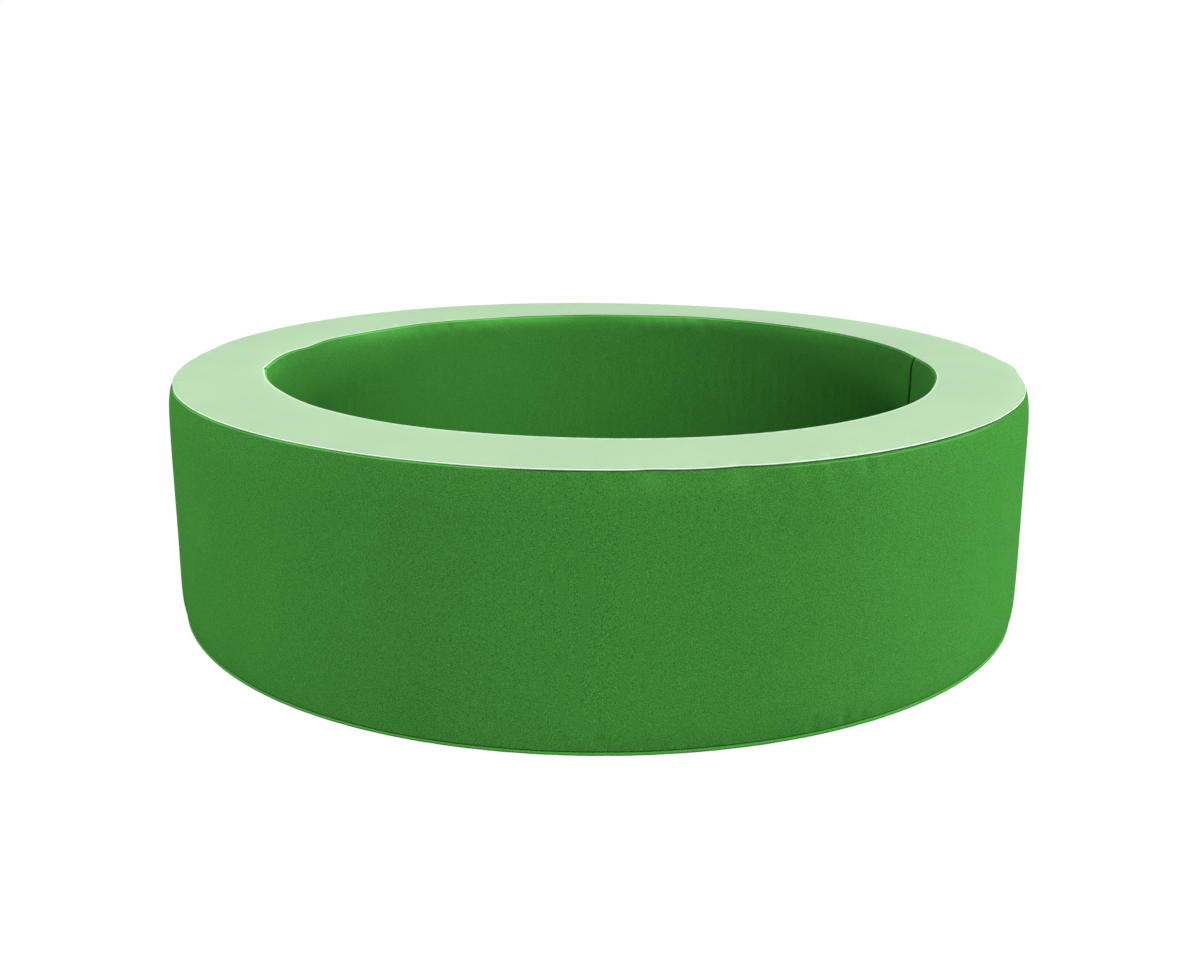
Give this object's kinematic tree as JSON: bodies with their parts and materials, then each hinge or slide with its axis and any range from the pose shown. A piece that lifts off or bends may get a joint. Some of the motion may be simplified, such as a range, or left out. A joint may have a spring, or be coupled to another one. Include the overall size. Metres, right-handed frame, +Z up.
{
  "type": "ball pit",
  "caption": "Round padded ball pit: a thick foam ring in a sewn green vinyl cover, with a light green flat rim and a lift-out padded floor mat.",
  "frame": {"origin": "on the floor at the centre of the ring", "axes": "+Z up along the ring's axis; +Y away from the viewer of the picture, towards the wall that carries the zip; +X to the viewer's right"},
  "size_m": [1.5, 1.5007, 0.41],
  "materials": {
    "rim_vinyl": "light green coated fabric, satin, fine grain",
    "wall_vinyl": "mid green coated fabric, satin, fine grain",
    "foam": "open-cell polyurethane foam, matt",
    "zip_tape": "woven polyester tape",
    "zip_teeth": "moulded plastic",
    "slider_metal": "nickel-plated zinc",
    "hook_and_loop": "black hook and loop tape"
  },
  "bodies": {
    "ring": {"ring_top_panel": "rim_vinyl", "outer_wall_front_panel": "wall_vinyl", "outer_wall_back_panel": "wall_vinyl", "inner_wall_front_panel": "wall_vinyl", "inner_wall_back_panel": "wall_vinyl", "ring_base_panel": "wall_vinyl", "foam_core_1": "foam", "foam_core_2": "foam", "foam_core_3": "foam", "foam_core_4": "foam", "zip_lower_tape": "zip_tape", "zip_upper_tape": "zip_tape", "zip_lower_teeth": "zip_teeth", "zip_upper_teeth": "zip_teeth", "zip_start_stop": "slider_metal", "zip_end_stop": "slider_metal", "loop_patch_1": "hook_and_loop", "loop_patch_2": "hook_and_loop", "loop_patch_3": "hook_and_loop", "loop_patch_4": "hook_and_loop"},
    "slider": {"zip_slider": "slider_metal"},
    "pull_tab": {"zip_pull_tab": "slider_metal"},
    "floor_mat": {"mat_top_panel": "wall_vinyl", "mat_side_band": "wall_vinyl", "mat_base_panel": "wall_vinyl", "mat_foam_disc": "foam", "hook_patch_1": "hook_and_loop", "hook_patch_2": "hook_and_loop", "hook_patch_3": "hook_and_loop", "hook_patch_4": "hook_and_loop"}
  },
  "joints": [
    {"name": "floor_mat_lift", "type": "slide", "parent": "ring", "child": "floor_mat", "axis": [0, 0, 1], "range_m": [0, 0.45]},
    {"name": "zip_travel", "type": "hinge", "parent": "ring", "child": "slider", "pos_m": [0, 0, 0.01285], "axis": [0, 0, 1], "range_deg": [0, 133.2]},
    {"name": "pull_tab_swing", "type": "hinge", "parent": "slider", "child": "pull_tab", "pos_m": [0.66366, 0.35829, 0.01285], "axis": [0, 0, -1], "range_deg": [0, 165]}
  ]
}
